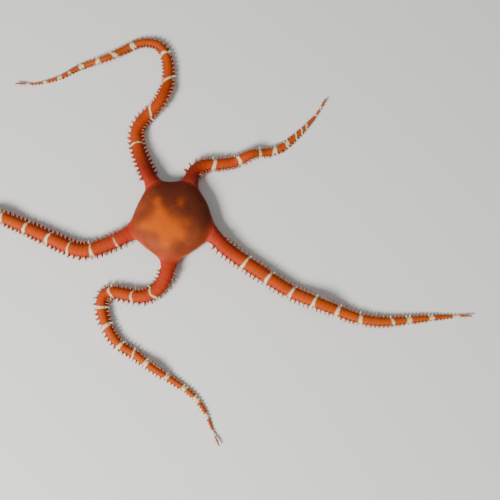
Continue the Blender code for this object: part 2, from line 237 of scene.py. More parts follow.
def nearest_arm(direction):
    return min(arms, key=lambda arm: abs(turn_between(direction, arm.bearing)))


def disc_edge(direction):
    """The disc's radius in a direction: further out in front of each arm."""
    turn = turn_between(direction, nearest_arm(direction).bearing)
    return DISC_RADIUS + DISC_CORNER * math.exp(-(turn / CORNER_SPREAD) ** 2)


# The gap from each arm to the next one round the disc, and the directions of the jaws, halfway across them
bearings = sorted(arm.bearing for arm in arms)
gaps = list(zip(bearings, [*bearings[1:], bearings[0] + math.tau]))
jaw_directions = [(here + there) / 2 for here, there in gaps]
# Columns of the cage round the disc: three for each arm, where it grows out, and a few between two arms
ARM_HALF_ANGLE = math.radians(12.0)
COLUMN_STEP = math.radians(12.5)


def cage_columns():
    """The direction of every column, and whether it is an arm's middle, an arm's side or between two arms."""
    columns = []
    for here, there in gaps:
        columns += [(here - ARM_HALF_ANGLE, "arm"), (here, "middle"), (here + ARM_HALF_ANGLE, "arm")]
        gap = there - here - 2 * ARM_HALF_ANGLE
        steps = max(2, round(gap / COLUMN_STEP))
        columns += [(here + ARM_HALF_ANGLE + gap * i / steps, "between") for i in range(1, steps)]
    return columns


# The disc in section, from its rim inwards, as shares of its radius and height. The first three rows of the
# side, of which the rim is the second, are where the arms are pulled out.
RIM_SHARE = 0.36
RIM_LEVEL = DISC_LIFT + RIM_SHARE * DISC_HEIGHT
UPPER_ROWS = ((0.985, 0.5), (0.9, 0.66), (0.77, 0.81), (0.61, 0.91), (0.43, 0.97), (0.24, 1.0), (0.08, 1.0))
LOWER_ROWS = ((0.985, 0.2), (0.92, 0.07), (0.8, 0.0), (0.62, -0.01), (0.45, -0.01), (0.33, -0.01))
# The arm in section: across as a share of half its width and up as a share of its height
ARM_TOP_ROW = ((0.74, 0.93), (0.0, 1.05))
ARM_MIDDLE_ROW = ((1.13, 0.46), (0.0, 0.5))
ARM_BOTTOM_ROW = ((0.66, 0.0), (0.0, 0.0))
UNDER_RIDGE = 0.3 * MM  # how far an arm stands out of the disc's underside
UNDER_SHARE = 0.1  # rows lower than this share of the disc's height are its underside
ROUND_WITHIN = 0.5  # rows nearer the middle than this share of its radius don't reach out to the arms

columns = cage_columns()


def direction_of(vert):
    return math.atan2(vert.co.y - DISC_CENTRE.y, vert.co.x - DISC_CENTRE.x)


def column_of(vert):
    return min(columns, key=lambda column: abs(turn_between(direction_of(vert), column[0])))


def arm_patch_point(angle, kind, row):
    """Where the wall of the disc carries an arm: the arm's own section, one length short of its root."""
    arm = nearest_arm(angle)
    across, up = row[0] if kind == "arm" else row[1]
    side = 1 if turn_between(angle, arm.bearing) > 0 else -1
    along = ARM_ROOT - SEGMENT
    width, height = arm.width(along), arm.height(along)
    return arm.place(along, side * across * width / 2, up * height)


def disc_point(angle, share, up):
    radius = disc_edge(angle) * share if share > ROUND_WITHIN else DISC_RADIUS * share
    flat = DISC_CENTRE + level_ray(angle) * radius
    return Vector((flat.x, flat.y, DISC_LIFT + DISC_HEIGHT * up))


def shape_row(cage, share, up, patch_row=None):
    """Moves the selected ring of the cage to its place in the disc."""
    mesh = bmesh.from_edit_mesh(cage.data)
    for vert in [v for v in mesh.verts if v.select]:
        angle, kind = column_of(vert)
        if patch_row and kind != "between":
            vert.co = arm_patch_point(angle, kind, patch_row)
        else:
            vert.co = disc_point(angle, share, up)
            if kind != "between" and up < UNDER_SHARE:
                vert.co.z -= UNDER_RIDGE
    bmesh.update_edit_mesh(cage.data)


def select_ring(cage, chosen):
    mesh = bmesh.from_edit_mesh(cage.data)
    for vert in mesh.verts:
        vert.select = chosen(vert)
    mesh.select_flush_mode()
    mesh.select_flush(True)
    bmesh.update_edit_mesh(cage.data)


def extrude_edges():
    bpy.ops.mesh.extrude_edges_move(TRANSFORM_OT_translate={"value": (0, 0, 0)})


# Mouth, on the underside: a star of five slits that point to the arms, between five jaws. Its rings are given
# by their depth as a share of the mouth's, and by how wide the star still is there.
MOUTH_SLIT_REACH = 2.7 * MM
MOUTH_SLIT_SHOULDER = MOUTH_SLIT_REACH * 0.8  # where a slit begins to close to its point
MOUTH_SLIT_HALF_WIDTH = 0.16 * MM
JAW_TIP = 0.95 * MM
MOUTH_DEPTH = 1.6 * MM
MOUTH_ROWS = ((0.0, 1.0), (0.4, 0.84), (1.0, 0.57))
MOUTH_LEVEL = DISC_LIFT - UNDER_RIDGE * 0.6


def shape_mouth(cage, height, spread):
    """The selected ring becomes the star of the mouth: slits in front of the arms and jaws between them."""
    mesh = bmesh.from_edit_mesh(cage.data)
    for vert in [v for v in mesh.verts if v.select]:
        angle, kind = column_of(vert)
        bearing = nearest_arm(angle).bearing
        ahead = level_ray(bearing)
        if kind == "middle":
            flat = ahead * MOUTH_SLIT_REACH * spread
        elif kind == "arm":
            side = 1 if turn_between(angle, bearing) > 0 else -1
            aside = Vector((-ahead.y, ahead.x)) * side
            flat = ahead * MOUTH_SLIT_SHOULDER * spread + aside * MOUTH_SLIT_HALF_WIDTH
        else:
            flat = level_ray(angle) * JAW_TIP * spread
        vert.co = Vector((*(DISC_CENTRE + flat), height))
    bmesh.update_edit_mesh(cage.data)


def model_disc():
    bpy.ops.object.select_all(action="DESELECT")
    bpy.ops.mesh.primitive_circle_add(
        vertices=len(columns), radius=DISC_RADIUS, location=(*DISC_CENTRE, RIM_LEVEL)
    )
    cage = bpy.context.object
    cage.name = "skin"
    bpy.ops.object.transform_apply(location=True, rotation=True, scale=True)
    ordered = sorted(cage.data.vertices, key=direction_of)
    turns = sorted(turn_between(column[0], 0) for column in columns)
    for vert, angle in zip(ordered, turns):
        vert.co = disc_point(angle, 1.0, RIM_SHARE)
    bpy.ops.object.mode_set(mode="EDIT")
    bpy.ops.mesh.select_mode(type="VERT")
    bpy.ops.mesh.select_all(action="SELECT")
    shape_row(cage, 1.0, RIM_SHARE, ARM_MIDDLE_ROW)
    rim = [v.index for v in bmesh.from_edit_mesh(cage.data).verts]

    for number, (share, up) in enumerate(UPPER_ROWS):
        extrude_edges()
        shape_row(cage, share, up, ARM_TOP_ROW if number == 0 else None)
    bpy.ops.mesh.merge(type="CENTER")

    bpy.ops.mesh.select_all(action="DESELECT")
    select_ring(cage, lambda vert: vert.index in rim)
    for number, (share, up) in enumerate(LOWER_ROWS):
        extrude_edges()
        shape_row(cage, share, up, ARM_BOTTOM_ROW if number == 0 else None)
    for depth, spread in MOUTH_ROWS:
        extrude_edges()
        shape_mouth(cage, MOUTH_LEVEL + MOUTH_DEPTH * depth, spread)
    bpy.ops.mesh.merge(type="CENTER")
    bpy.ops.mesh.select_all(action="SELECT")
    bpy.ops.mesh.normals_make_consistent(inside=False)
    return cage


def pull_out_arm(cage, arm):
    """Extrudes a patch of four faces on the disc's side along the arm's course, a ring for each arm joint."""
    start = ARM_ROOT - SEGMENT
    middle = arm.place(start, 0, arm.height(start) / 2)
    bpy.ops.mesh.select_mode(type="FACE")
    bpy.ops.mesh.select_all(action="DESELECT")
    mesh = bmesh.from_edit_mesh(cage.data)
    nearest = sorted(mesh.faces, key=lambda face: (face.calc_center_median() - middle).length)[:4]
    for face in nearest:
        face.select = True
    bmesh.update_edit_mesh(cage.data)
    along = start
    for end in arm.segments:
        if end == arm.length:
            end -= TIP_WIDTH / 4
        here, there = arm.place(along, 0, 0), arm.place(end, 0, 0)
        bpy.ops.mesh.extrude_region_move(TRANSFORM_OT_translate={"value": there - here})
        turn = arm.ahead(along).angle_signed(arm.ahead(end))
        bpy.ops.transform.rotate(value=turn, orient_axis="Z", center_override=there)
        slimmer, lower = arm.width(end) / arm.width(along), arm.height(end) / arm.height(along)
        bpy.ops.transform.resize(value=(slimmer, slimmer, lower), center_override=there)
        along = end


skin = model_disc()
for arm in arms:
    pull_out_arm(skin, arm)
bpy.ops.object.mode_set(mode="OBJECT")
subdivide = skin.modifiers.new("Soften", "SUBSURF")
subdivide.levels = subdivide.render_levels = 2
bpy.ops.object.modifier_apply(modifier=subdivide.name)
bpy.ops.object.shade_smooth()


# Bursal slits: the openings of the breathing pockets, a pair beside the root of each arm on the underside
BURSAL_SLIT_AT = (6.6 * MM, 2.35 * MM)  # from the disc's centre along the arm, and to its side
BURSAL_SLIT_HALF_LENGTH = 2.1 * MM
BURSAL_SLIT_DEPTH = 0.6 * MM
BURSAL_SLIT_LIP = 0.3 * MM  # from its middle line to its lip
UNDERSIDE_TOP = DISC_LIFT + 0.5 * MM  # no point of the underside is higher


def under_place(point):
    """How far a point of the disc is from the centre along the nearest arm, and to the side of that arm."""
    flat = Vector(point[:2]) - DISC_CENTRE
    direction = math.atan2(flat.y, flat.x)
    turn = turn_between(direction, nearest_arm(direction).bearing)
    return flat.length * math.cos(turn), flat.length * abs(math.sin(turn))


def bursal_slit_share(point):
    """1 on the middle line of a bursal slit and 0 from its lip on."""
    if point[2] > RIM_LEVEL or (Vector(point[:2]) - DISC_CENTRE).length > ARM_ROOT:
        return 0.0
    along, across = under_place(point)
    past_end = max(0.0, abs(along - BURSAL_SLIT_AT[0]) - BURSAL_SLIT_HALF_LENGTH)
    return 1 - smoothstep(math.hypot(past_end, across - BURSAL_SLIT_AT[1]) / BURSAL_SLIT_LIP)


def refine_round_bursal_slits(skin):
    """Divides the faces of the underside round the slits, so that they can be drawn in narrow."""
    bpy.ops.object.mode_set(mode="EDIT")
    bpy.ops.mesh.select_mode(type="FACE")
    bpy.ops.mesh.select_all(action="DESELECT")
    mesh = bmesh.from_edit_mesh(skin.data)
    for face in mesh.faces:
        middle = face.calc_center_median()
        along, across = under_place(middle)
        beside = abs(along - BURSAL_SLIT_AT[0]) < BURSAL_SLIT_HALF_LENGTH + 2 * BURSAL_SLIT_LIP
        near = beside and abs(across - BURSAL_SLIT_AT[1]) < 2 * BURSAL_SLIT_LIP
        face.select = near and middle.z < UNDERSIDE_TOP
    bmesh.update_edit_mesh(skin.data)
    bpy.ops.mesh.subdivide(number_cuts=2)
    bpy.ops.object.mode_set(mode="OBJECT")


refine_round_bursal_slits(skin)


# Where a point of the skin lies on its arm: which arm, how far along it, how far to its side and how high
course_tree = kdtree.KDTree(sum(len(arm.line) for arm in arms))
course_owner = []
for arm in arms:
    for step, point in enumerate(arm.line):
        course_tree.insert((*(point + DISC_CENTRE), 0), len(course_owner))
        course_owner.append((arm, step * COURSE_STEP))
course_tree.balance()


class Spot:
    """A point's place on the arm that it belongs to."""

    def __init__(self, point):
        self.arm, along = course_owner[course_tree.find((point.x, point.y, 0))[1]]
        offset = Vector((point.x, point.y)) - DISC_CENTRE - self.arm.point(along)
        self.along = along + offset.dot(self.arm.ahead(along))
        self.across = offset.dot(self.arm.left(along)) / (self.arm.width(along) / 2)
        self.up = (point.z - self.arm.lift(along)) / self.arm.height(along)
        from_centre = Vector((point.x, point.y)) - DISC_CENTRE
        self.from_centre = from_centre.length
        self.height = point.z
        self.direction = math.atan2(from_centre.y, from_centre.x)


# The skin cut open along the underside of each arm and round the rim of the disc, and laid flat in a unit
# square: five strips for the arms below, and the disc's top and underside above them.
STRIP_HEIGHT = 0.1
STRIP_MARGIN = 0.004
STRIP_START = 0.01
DISC_PATCH_RADIUS = 0.22
DISC_PATCHES = {"top": (0.25, 0.755), "under": (0.75, 0.755)}
LONGEST_ARM = max(arm.length for arm in arms) - ARM_ROOT + 2 * SEGMENT


def arm_place(spot):
    u = STRIP_START + (1 - 2 * STRIP_START) * (spot.along - ARM_ROOT + SEGMENT) / LONGEST_ARM
    around = math.atan2(spot.across, 2 * spot.up - 1) / math.tau + 0.5
    base = arms.index(spot.arm) * STRIP_HEIGHT + STRIP_MARGIN
    return u, base + around * (STRIP_HEIGHT - 2 * STRIP_MARGIN)


def disc_place(spot, side):
    depth = abs(spot.height - RIM_LEVEL)
    slant = math.atan2(spot.from_centre, depth + DISC_HEIGHT / 2) / (math.pi / 2)
    return Vector(DISC_PATCHES[side]) + level_ray(spot.direction) * slant * DISC_PATCH_RADIUS


def skin_unwrap(spot):
    """Where a point of the skin lies on the unwrap."""
    if spot.from_centre > ARM_ROOT - SEGMENT:
        return arm_place(spot)
    return disc_place(spot, "top" if spot.height > RIM_LEVEL else "under")


def unwrap_skin(skin, spots):
    """Gives the skin its own UV map, in place of the one that the circle came with."""
    skin.data.uv_layers.remove(skin.data.uv_layers[0])
    layer = skin.data.uv_layers.new(name="OFBake")
    strip = STRIP_HEIGHT - 2 * STRIP_MARGIN
    for face in skin.data.polygons:
        corners = [spots[i] for i in face.vertices]
        if min(spot.from_centre for spot in corners) > ARM_ROOT - SEGMENT:
            places = [arm_place(spot) for spot in corners]
            highest = max(v for u, v in places)
            places = [(u, v + strip if highest - v > strip / 2 else v) for u, v in places]
        else:
            side = "top" if face.center.z > RIM_LEVEL else "under"
            places = [disc_place(spot, side) for spot in corners]
        for corner, place in zip(face.loop_indices, places):
            layer.data[corner].uv = place


unwrap_skin(skin, [Spot(vert.co) for vert in skin.data.vertices])


# Relief of the skin: a faint crease where two arm joints meet, and a loose, finely wrinkled disc
CREASE_DEPTH = 0.035 * MM
FLANK_CREASE_DEPTH = 0.11 * MM  # more of it, down the arm's flanks
CREASE_HALF_WIDTH = 0.3 * MM
CREASE_BOW = 0.35 * MM
FLANK_FROM, FLANK_FADE = 0.55, 0.4  # where a flank begins across the arm, and over how far, in half widths
FLANK_FOOT = 0.3  # as a share of the arm's height
WRINKLE_SIZE = 1.6 * MM
WRINKLE_DEPTH = 0.05 * MM
WRINKLE_FILL = 0.4  # a higher one leaves less of the skin smooth between the wrinkles
# On the underside the arms run on to the mouth as ridges, and a shield lies behind each of the five jaws
UNDER_DEPTH = 0.3 * MM  # how deep the skin sinks in between them
RIDGE_HALF_WIDTH = (0.55 * MM, 0.11)  # at the mouth, and its growth along the arm
JAW_AT = (2.0 * MM, 0.75 * MM)  # from the disc's centre, and radius
SHIELD_AT = (4.3 * MM, 0.95 * MM)
RAISED_EDGE = 0.45 * MM


def crease(spot):
    """1 in a crease and 0 away from it. A crease bows towards the tip on top of the arm."""
    along = spot.along + CREASE_BOW * spot.across ** 2
    if along < ARM_ROOT - SEGMENT / 2:
        return 0.0
    gap = min(abs(along - end) for end in spot.arm.segments)
    return math.exp(-(gap / CREASE_HALF_WIDTH) ** 2)


def under_relief(point):
    """1 in the hollows of the underside, and 0 on its ridges, jaws and shields and away from it."""
    flat = Vector(point[:2]) - DISC_CENTRE
    if point[2] > RIM_LEVEL or flat.length > ARM_ROOT:
        return 0.0
    below = smoothstep((RIM_LEVEL - point[2]) / MM) * smoothstep((ARM_ROOT - flat.length) / SEGMENT)
    along, across = under_place(point)
    half, growth = RIDGE_HALF_WIDTH
    raised = 1 - smoothstep((across - half - growth * along) / RAISED_EDGE)
    for direction in jaw_directions:
        for distance, radius in (JAW_AT, SHIELD_AT):
            outside = (flat - level_ray(direction) * distance).length - radius
            raised = max(raised, 1 - smoothstep(outside / RAISED_EDGE))
    return below * (1 - raised)


def shape_relief(skin):
    """Draws every point of the skin in by the depth of the relief there, and none through the floor."""
    normals = [vert.normal.copy() for vert in skin.data.vertices]
    for vert, normal in zip(skin.data.vertices, normals):
        spot = Spot(vert.co)
        on_arm = smoothstep((spot.from_centre - ARM_ROOT) / SEGMENT + 0.5)
        slim = spot.arm.width(max(spot.along, ARM_ROOT)) / ROOT_WIDTH
        on_flank = smoothstep((abs(spot.across) - FLANK_FROM) / FLANK_FADE) * smoothstep(spot.up / FLANK_FOOT)
        depth = (CREASE_DEPTH + FLANK_CREASE_DEPTH * on_flank) * crease(spot) * on_arm * slim
        wrinkle = noise.noise(vert.co / WRINKLE_SIZE) + 0.5 * noise.noise(vert.co / WRINKLE_SIZE * 2.7)
        depth += WRINKLE_DEPTH * (wrinkle + WRINKLE_FILL) * (slim if on_arm > 0.5 else 1)
        depth += UNDER_DEPTH * under_relief(vert.co) + BURSAL_SLIT_DEPTH * bursal_slit_share(vert.co)
        vert.co -= normal * max(depth, 0)
        vert.co.z = max(vert.co.z, 0)


shape_relief(skin)


# Markings of the skin, kept at each point: the cream bands across the arms, and the golden glow on the disc.
# A band is given by where its middle crosses the arm in mm from the arm's root, and by its length on the arm,
# how far its two ends bow back to the disc, and how far its left end slants ahead, all in mm.
BANDS = {
    "upper_left": (
        (11.2, 0.4, 0.3, 0.0), (21.0, 0.7, 0.1, 0.9), (31.3, 0.8, 0.1, -0.8), (38.9, 0.7, 0.3, 0.2),
        (49.2, 1.1, 0.1, -0.1), (54.7, 1.1, 0.1, -0.3), (59.1, 1.1, 0.0, 0.1), (63.7, 1.2, 0.0, 0.0),
        (67.2, 0.5, 0.1, 0.0), (70.0, 1.0, 0.0, 0.1), (74.0, 0.9, 0.0, 0.0), (78.4, 1.1, 0.0, 0.0),
    ),
    "upper_right": (
        (8.4, 0.9, 0.3, 0.3), (14.6, 0.8, 0.2, -0.2), (20.4, 0.7, 0.2, 0.0), (24.2, 1.2, 0.0, 0.3),
        (27.9, 1.0, 0.1, 0.2), (31.0, 0.5, 0.0, 0.4), (33.1, 0.5, 0.0, 0.4), (34.9, 0.6, 0.0, 0.3),
        (38.7, 0.7, 0.0, 0.0), (41.1, 0.7, 0.0, 0.0),
    ),
    "right": (
        (10.2, 0.6, 0.1, 0.1), (16.9, 0.7, -0.1, 0.1), (23.7, 0.7, 0.1, 0.2), (29.6, 0.7, -0.1, 0.1),
        (35.8, 0.9, 0.1, 0.1), (41.6, 0.8, -0.1, -0.1), (49.6, 0.6, 0.2, -0.3), (53.7, 1.2, 0.1, 0.0),
        (59.3, 1.2, 0.1, 0.0), (65.4, 1.7, 0.0, 0.0),
    ),
    "lower": (
        (8.8, 0.5, 0.9, 0.1), (13.7, 0.5, 0.6, 0.0), (19.3, 0.6, 0.9, -0.2), (24.2, 0.7, 0.2, 0.2),
        (28.9, 0.9, 0.1, -0.1), (34.8, 0.8, 0.1, 0.1), (38.6, 0.5, 0.0, -0.3), (42.6, 1.1, 0.1, 0.0),
        (48.6, 0.8, 0.2, 0.2), (53.5, 1.1, 0.0, 0.0), (57.5, 1.7, 0.0, 0.1), (62.2, 1.3, 0.0, 0.0),
        (66.6, 1.6, 0.0, 0.0),
    ),
    "left": (
        (4.0, 0.3, 0.3, 0.0), (10.3, 0.6, 0.2, 0.1), (16.0, 0.4, 0.3, 0.0), (21.8, 0.7, 0.2, 0.2),
        (28.2, 0.7, 0.2, 0.0), (34.6, 0.8, 0.1, -0.2), (40.6, 0.9, 0.1, 0.2), (46.3, 1.0, 0.1, 0.0),
        (51.7, 1.1, 0.0, 0.2), (57.0, 1.1, 0.1, -0.1), (62.0, 1.1, 0.0, 0.0), (66.6, 1.1, 0.0, 0.1),
        (70.0, 0.8, 0.0, 0.0),
    ),
}
# A band widens down the flanks, and down one more than the other: the left one where this is above zero.
# That extra width goes to the side that faces the light, and is painted light.
LIT_SIDE_BAND_SPREAD = {"upper_left": 0.3, "upper_right": 0.0, "right": -0.35, "lower": 0.1, "left": 0.35}
BAND_FLARE = 0.5
BAND_WIDTH = (0.8, 0.25)  # at the arm's root, and what it gains to the tip
NO_BAND = -1.5  # mm, far outside any band
# Soft strokes of gold in mm from the disc's centre: start, end, radius and strength
GLOW_STROKES = (
    ((-2.7, -1.6), (-0.6, -3.3), 2.7, 1.0), ((-6.6, -2.0), (-3.4, -2.2), 1.5, 0.75),
    ((-3.0, 1.2), (-2.2, -1.0), 1.5, 0.8), ((-1.3, -6.4), (-1.0, -4.0), 1.7, 0.75),
    ((2.2, -4.3), (0.2, -3.4), 1.5, 0.85), ((-3.6, 4.4), (-3.5, 3.5), 1.15, 0.55),
    ((2.3, 4.2), (2.2, 3.4), 1.2, 0.35), ((3.6, -1.4), (1.0, -1.6), 1.6, 0.3),
)
CORAL_REACH = 3.0 * MM  # how far the coral of an arm runs on to the disc
ARM_FROM, ARM_FADE = 0.9, 0.7  # where it begins to fade to its sides, and over how far, in half widths
MOUTH_EDGE = 0.5 * MM
HOLLOW_SHADE = 0.3  # of the mouth's dark in the shallow hollows of the underside


def band_depth(arm, along, across):
    """How far inside a band a point lies, in mm. Outside it is below zero."""
    depth, from_root = NO_BAND, (along - ARM_ROOT) / MM
    bent, slim = min(across ** 2, 1.2), arm.share(along)
    # Painted light: the extra band width on the side that faces the light
    flared = BAND_FLARE * bent + LIT_SIDE_BAND_SPREAD[arm.name] * max(-1.0, min(1.0, across))
    widened = BAND_WIDTH[0] + BAND_WIDTH[1] * slim + flared * (1 - slim)
    for middle, length, bow, slant in BANDS[arm.name]:
        past_middle = abs(from_root + bow * bent - slant * across - middle)
        depth = max(depth, length * widened / 2 - past_middle)
    return depth


def glow(point):
    """1 in the middle of the golden glow on the disc, fading to 0 outside it."""
    flat = (Vector(point[:2]) - DISC_CENTRE) / MM
    dull = 1.0
    for start, end, radius, strength in GLOW_STROKES:
        start, end = Vector(start), Vector(end)
        share = (flat - start).dot(end - start) / (end - start).length_squared
        gap = (flat - start.lerp(end, min(1.0, max(0.0, share)))).length
        dull *= 1 - strength * math.exp(-(gap / radius) ** 2)
    return 1 - dull


def mouth_share(spot):
    """1 inside the mouth and 0 outside it."""
    if spot.from_centre > MOUTH_SLIT_REACH or spot.height > RIM_LEVEL + MOUTH_EDGE:
        return 0.0
    return smoothstep((spot.height - DISC_LIFT) / MOUTH_EDGE)


def markings(spot, point):
    """Every marking at a point of the skin. The middle of an arm's root runs on to the disc as arm."""
    outward = smoothstep((spot.from_centre - ARM_ROOT + CORAL_REACH) / CORAL_REACH)
    return {
        "band": band_depth(spot.arm, spot.along, spot.across),
        "share": spot.arm.share(spot.along),
        "glow": glow(point),
        "rim": (spot.from_centre - disc_edge(spot.direction)) / MM,
        "arm": outward * (1 - smoothstep((abs(spot.across) - ARM_FROM) / ARM_FADE)),
        "top": min(1.5, max(-0.5, spot.up)),
        "joint": crease(spot),
        # Where the mouth, the bursal slits and the shallow hollows of the underside get painted shade
        "hollow": max(mouth_share(spot), bursal_slit_share(point), HOLLOW_SHADE * under_relief(point)),
    }


def keep_markings(piece, spots, points):
    """Stores the markings as attributes, which the material reads."""
    marked = [markings(spot, point) for spot, point in zip(spots, points)]
    for name in marked[0]:
        attribute = piece.data.attributes.new(name, "FLOAT", "POINT")
        attribute.data.foreach_set("value", [each[name] for each in marked])


skin_spots = [Spot(vert.co) for vert in skin.data.vertices]
keep_markings(skin, skin_spots, [vert.co for vert in skin.data.vertices])


def linear(hex_colour):
    """An sRGB hex colour as linear RGBA."""
    channels = [int(hex_colour[i:i + 2], 16) / 255 for i in (0, 2, 4)]
    return (*(c / 12.92 if c <= 0.04045 else ((c + 0.055) / 1.055) ** 2.4 for c in channels), 1.0)


def add_node(tree, kind, settings=(), output=0, **inputs):
    """Adds a node and gives back an output of it. Inputs are values or sockets, by name or number (as _2)."""
    node = tree.nodes.new(kind)
    for name, value in dict(settings).items():
        setattr(node, name, value)
    for name, value in inputs.items():
        socket = node.inputs[int(name[1:]) if name[1:].isdigit() else name.replace("_", " ")]
        if isinstance(value, bpy.types.NodeSocket):
            tree.links.new(value, socket)
        else:
            socket.default_value = value
    return node.outputs[output]


# Soft living skin over limestone plates, wet: light goes a little way in, which keeps its colours deep, and
# the film of water gives it a low sheen. The arms get a painted highlight along their top, and painted shade,
# darker and redder, down their flanks.
ORANGE = "B03C14"
FLANK_PAINTED_SHADE = "7E240F"
ROOT_CORAL = "A83218"
# The roots at the back, away from the light: partly the arms' own darker colour, partly painted shade
ROOT_DARK_AND_PAINTED_SHADE = "7A2014"
TIP_ORANGE = "B84E10"
CREST_PAINTED_HIGHLIGHT = "C45A14"
BLOTCH_DEEP = "983208"
BLOTCH_LIGHT = "BE5214"
CREASE_BROWN = "6E2208"
BAND_CREAM = "E2CFA4"
DISC_BROWN = "8C4020"
DISC_DARK = "4A1B11"
DISC_CORAL = "A6441D"
GLOW_GOLD = "C6560A"
RIM_PINK = "BC6046"
UNDER_PALE = "B97A4C"
HOLLOW_PAINTED_SHADE = "3C160A"
# Away from the key light at the lower left: the animal is painted darker this way, partly its own colour and
# partly painted shade, and the disc's front is painted coral towards the light, as painted light
AWAY_FROM_THE_LIGHT = (0.6, 0.8, 0.0)  # to where the animal is darkest
MIX = {"data_type": "RGBA"}  # its factor is socket 0, its colours are 6 and 7, and its result is output 2
SMOOTH = {"interpolation_type": "SMOOTHSTEP"}


def arm_colour(tree, place, broad, patchy):
    """Orange, a little blotched and brighter to the arm's tip, with a painted highlight along its top,
    painted shade down its flanks, and coral at its root, darker and redder at the back: partly painted shade.
    """
    # The roots turn darker and redder away from the light: partly their own colour, partly painted shade
    back = add_node(tree, "ShaderNodeVectorMath", {"operation": "DOT_PRODUCT"}, 1, _0=place, _1=AWAY_FROM_THE_LIGHT)
    dull = add_node(tree, "ShaderNodeMapRange", SMOOTH, _0=back, _1=4.5 * MM, _2=9 * MM, _3=0.0, _4=1.0)
    root = add_node(tree, "ShaderNodeMix", MIX, 2, _0=dull, _6=linear(ROOT_CORAL), _7=linear(ROOT_DARK_AND_PAINTED_SHADE))
    top = add_node(tree, "ShaderNodeAttribute", {"attribute_name": "top"}, 2)
    share = add_node(tree, "ShaderNodeAttribute", {"attribute_name": "share"}, 2)
    joint = add_node(tree, "ShaderNodeAttribute", {"attribute_name": "joint"}, 2)
    rooted = add_node(tree, "ShaderNodeMapRange", SMOOTH, _0=share, _1=0.02, _2=0.18, _3=0.0, _4=1.0)
    ended = add_node(tree, "ShaderNodeMapRange", SMOOTH, _0=share, _1=0.2, _2=0.7, _3=0.0, _4=1.0)
    colour = add_node(tree, "ShaderNodeMix", MIX, 2, _0=ended, _6=linear(ORANGE), _7=linear(TIP_ORANGE))
    deep = add_node(tree, "ShaderNodeMapRange", SMOOTH, _0=broad, _1=0.4, _2=0.75, _3=0.0, _4=0.35)
    colour = add_node(tree, "ShaderNodeMix", MIX, 2, _0=deep, _6=colour, _7=linear(BLOTCH_DEEP))
    light = add_node(tree, "ShaderNodeMapRange", SMOOTH, _0=patchy, _1=0.5, _2=0.8, _3=0.0, _4=0.35)
    colour = add_node(tree, "ShaderNodeMix", MIX, 2, _0=light, _6=colour, _7=linear(BLOTCH_LIGHT))
    # Painted highlight along the top of the arm
    crest = add_node(tree, "ShaderNodeMapRange", SMOOTH, _0=top, _1=0.8, _2=1.05, _3=0.0, _4=0.2)
    colour = add_node(tree, "ShaderNodeMix", MIX, 2, _0=crest, _6=colour, _7=linear(CREST_PAINTED_HIGHLIGHT))
    colour = add_node(tree, "ShaderNodeMix", MIX, 2, _0=rooted, _6=root, _7=colour)
    # Painted shade down the flanks, darker and redder
    flank = add_node(tree, "ShaderNodeMapRange", SMOOTH, _0=top, _1=0.85, _2=0.35, _3=0.0, _4=0.75)
    colour = add_node(tree, "ShaderNodeMix", MIX, 2, _0=flank, _6=colour, _7=linear(FLANK_PAINTED_SHADE))
    creased = add_node(tree, "ShaderNodeMapRange", SMOOTH, _0=joint, _1=0.3, _2=1.0, _3=0.0, _4=0.12)
    return add_node(tree, "ShaderNodeMix", MIX, 2, _0=creased, _6=colour, _7=linear(CREASE_BROWN))


def disc_colour(tree, place, broad, patchy):
    """Brown with a soft golden glow and a thin, paler rim. Towards the light its front is painted coral, as
    painted light, and away from it the back is darker, partly its own colour and partly painted shade.
    """
    gold = add_node(tree, "ShaderNodeAttribute", {"attribute_name": "glow"}, 2)
    rim = add_node(tree, "ShaderNodeAttribute", {"attribute_name": "rim"}, 2)
    back = add_node(tree, "ShaderNodeVectorMath", {"operation": "DOT_PRODUCT"}, 1, _0=place, _1=AWAY_FROM_THE_LIGHT)
    # Painted light: the front of the disc, towards the light, turns coral
    coral = add_node(tree, "ShaderNodeMapRange", SMOOTH, _0=back, _1=-3 * MM, _2=-7 * MM, _3=0.0, _4=0.7)
    colour = add_node(tree, "ShaderNodeMix", MIX, 2, _0=coral, _6=linear(DISC_BROWN), _7=linear(DISC_CORAL))
    # The back, away from the light, turns darker: partly the disc's own colour, partly painted shade
    dark = add_node(tree, "ShaderNodeMapRange", SMOOTH, _0=back, _1=-1 * MM, _2=7 * MM, _3=0.0, _4=0.78)
    colour = add_node(tree, "ShaderNodeMix", MIX, 2, _0=dark, _6=colour, _7=linear(DISC_DARK))
    mottle = add_node(tree, "ShaderNodeMapRange", SMOOTH, _0=broad, _1=0.35, _2=0.7, _3=0.0, _4=0.35)
    colour = add_node(tree, "ShaderNodeMix", MIX, 2, _0=mottle, _6=colour, _7=linear(DISC_DARK))
    fleck = add_node(tree, "ShaderNodeMapRange", SMOOTH, _0=patchy, _1=0.5, _2=0.8, _3=0.0, _4=0.22)
    colour = add_node(tree, "ShaderNodeMix", MIX, 2, _0=fleck, _6=colour, _7=linear(DISC_CORAL))
    ragged = add_node(tree, "ShaderNodeMath", {"operation": "MULTIPLY_ADD"}, _0=patchy, _1=0.16, _2=-0.08)
    gold = add_node(tree, "ShaderNodeMath", {"operation": "ADD"}, _0=gold, _1=ragged)
    golden = add_node(tree, "ShaderNodeMapRange", SMOOTH, _0=gold, _1=0.0, _2=1.0, _3=0.0, _4=1.0)
    colour = add_node(tree, "ShaderNodeMix", MIX, 2, _0=golden, _6=colour, _7=linear(GLOW_GOLD))
    edged = add_node(tree, "ShaderNodeMapRange", SMOOTH, _0=rim, _1=-0.5, _2=-0.05, _3=0.0, _4=0.85)
    return add_node(tree, "ShaderNodeMix", MIX, 2, _0=edged, _6=colour, _7=linear(RIM_PINK))


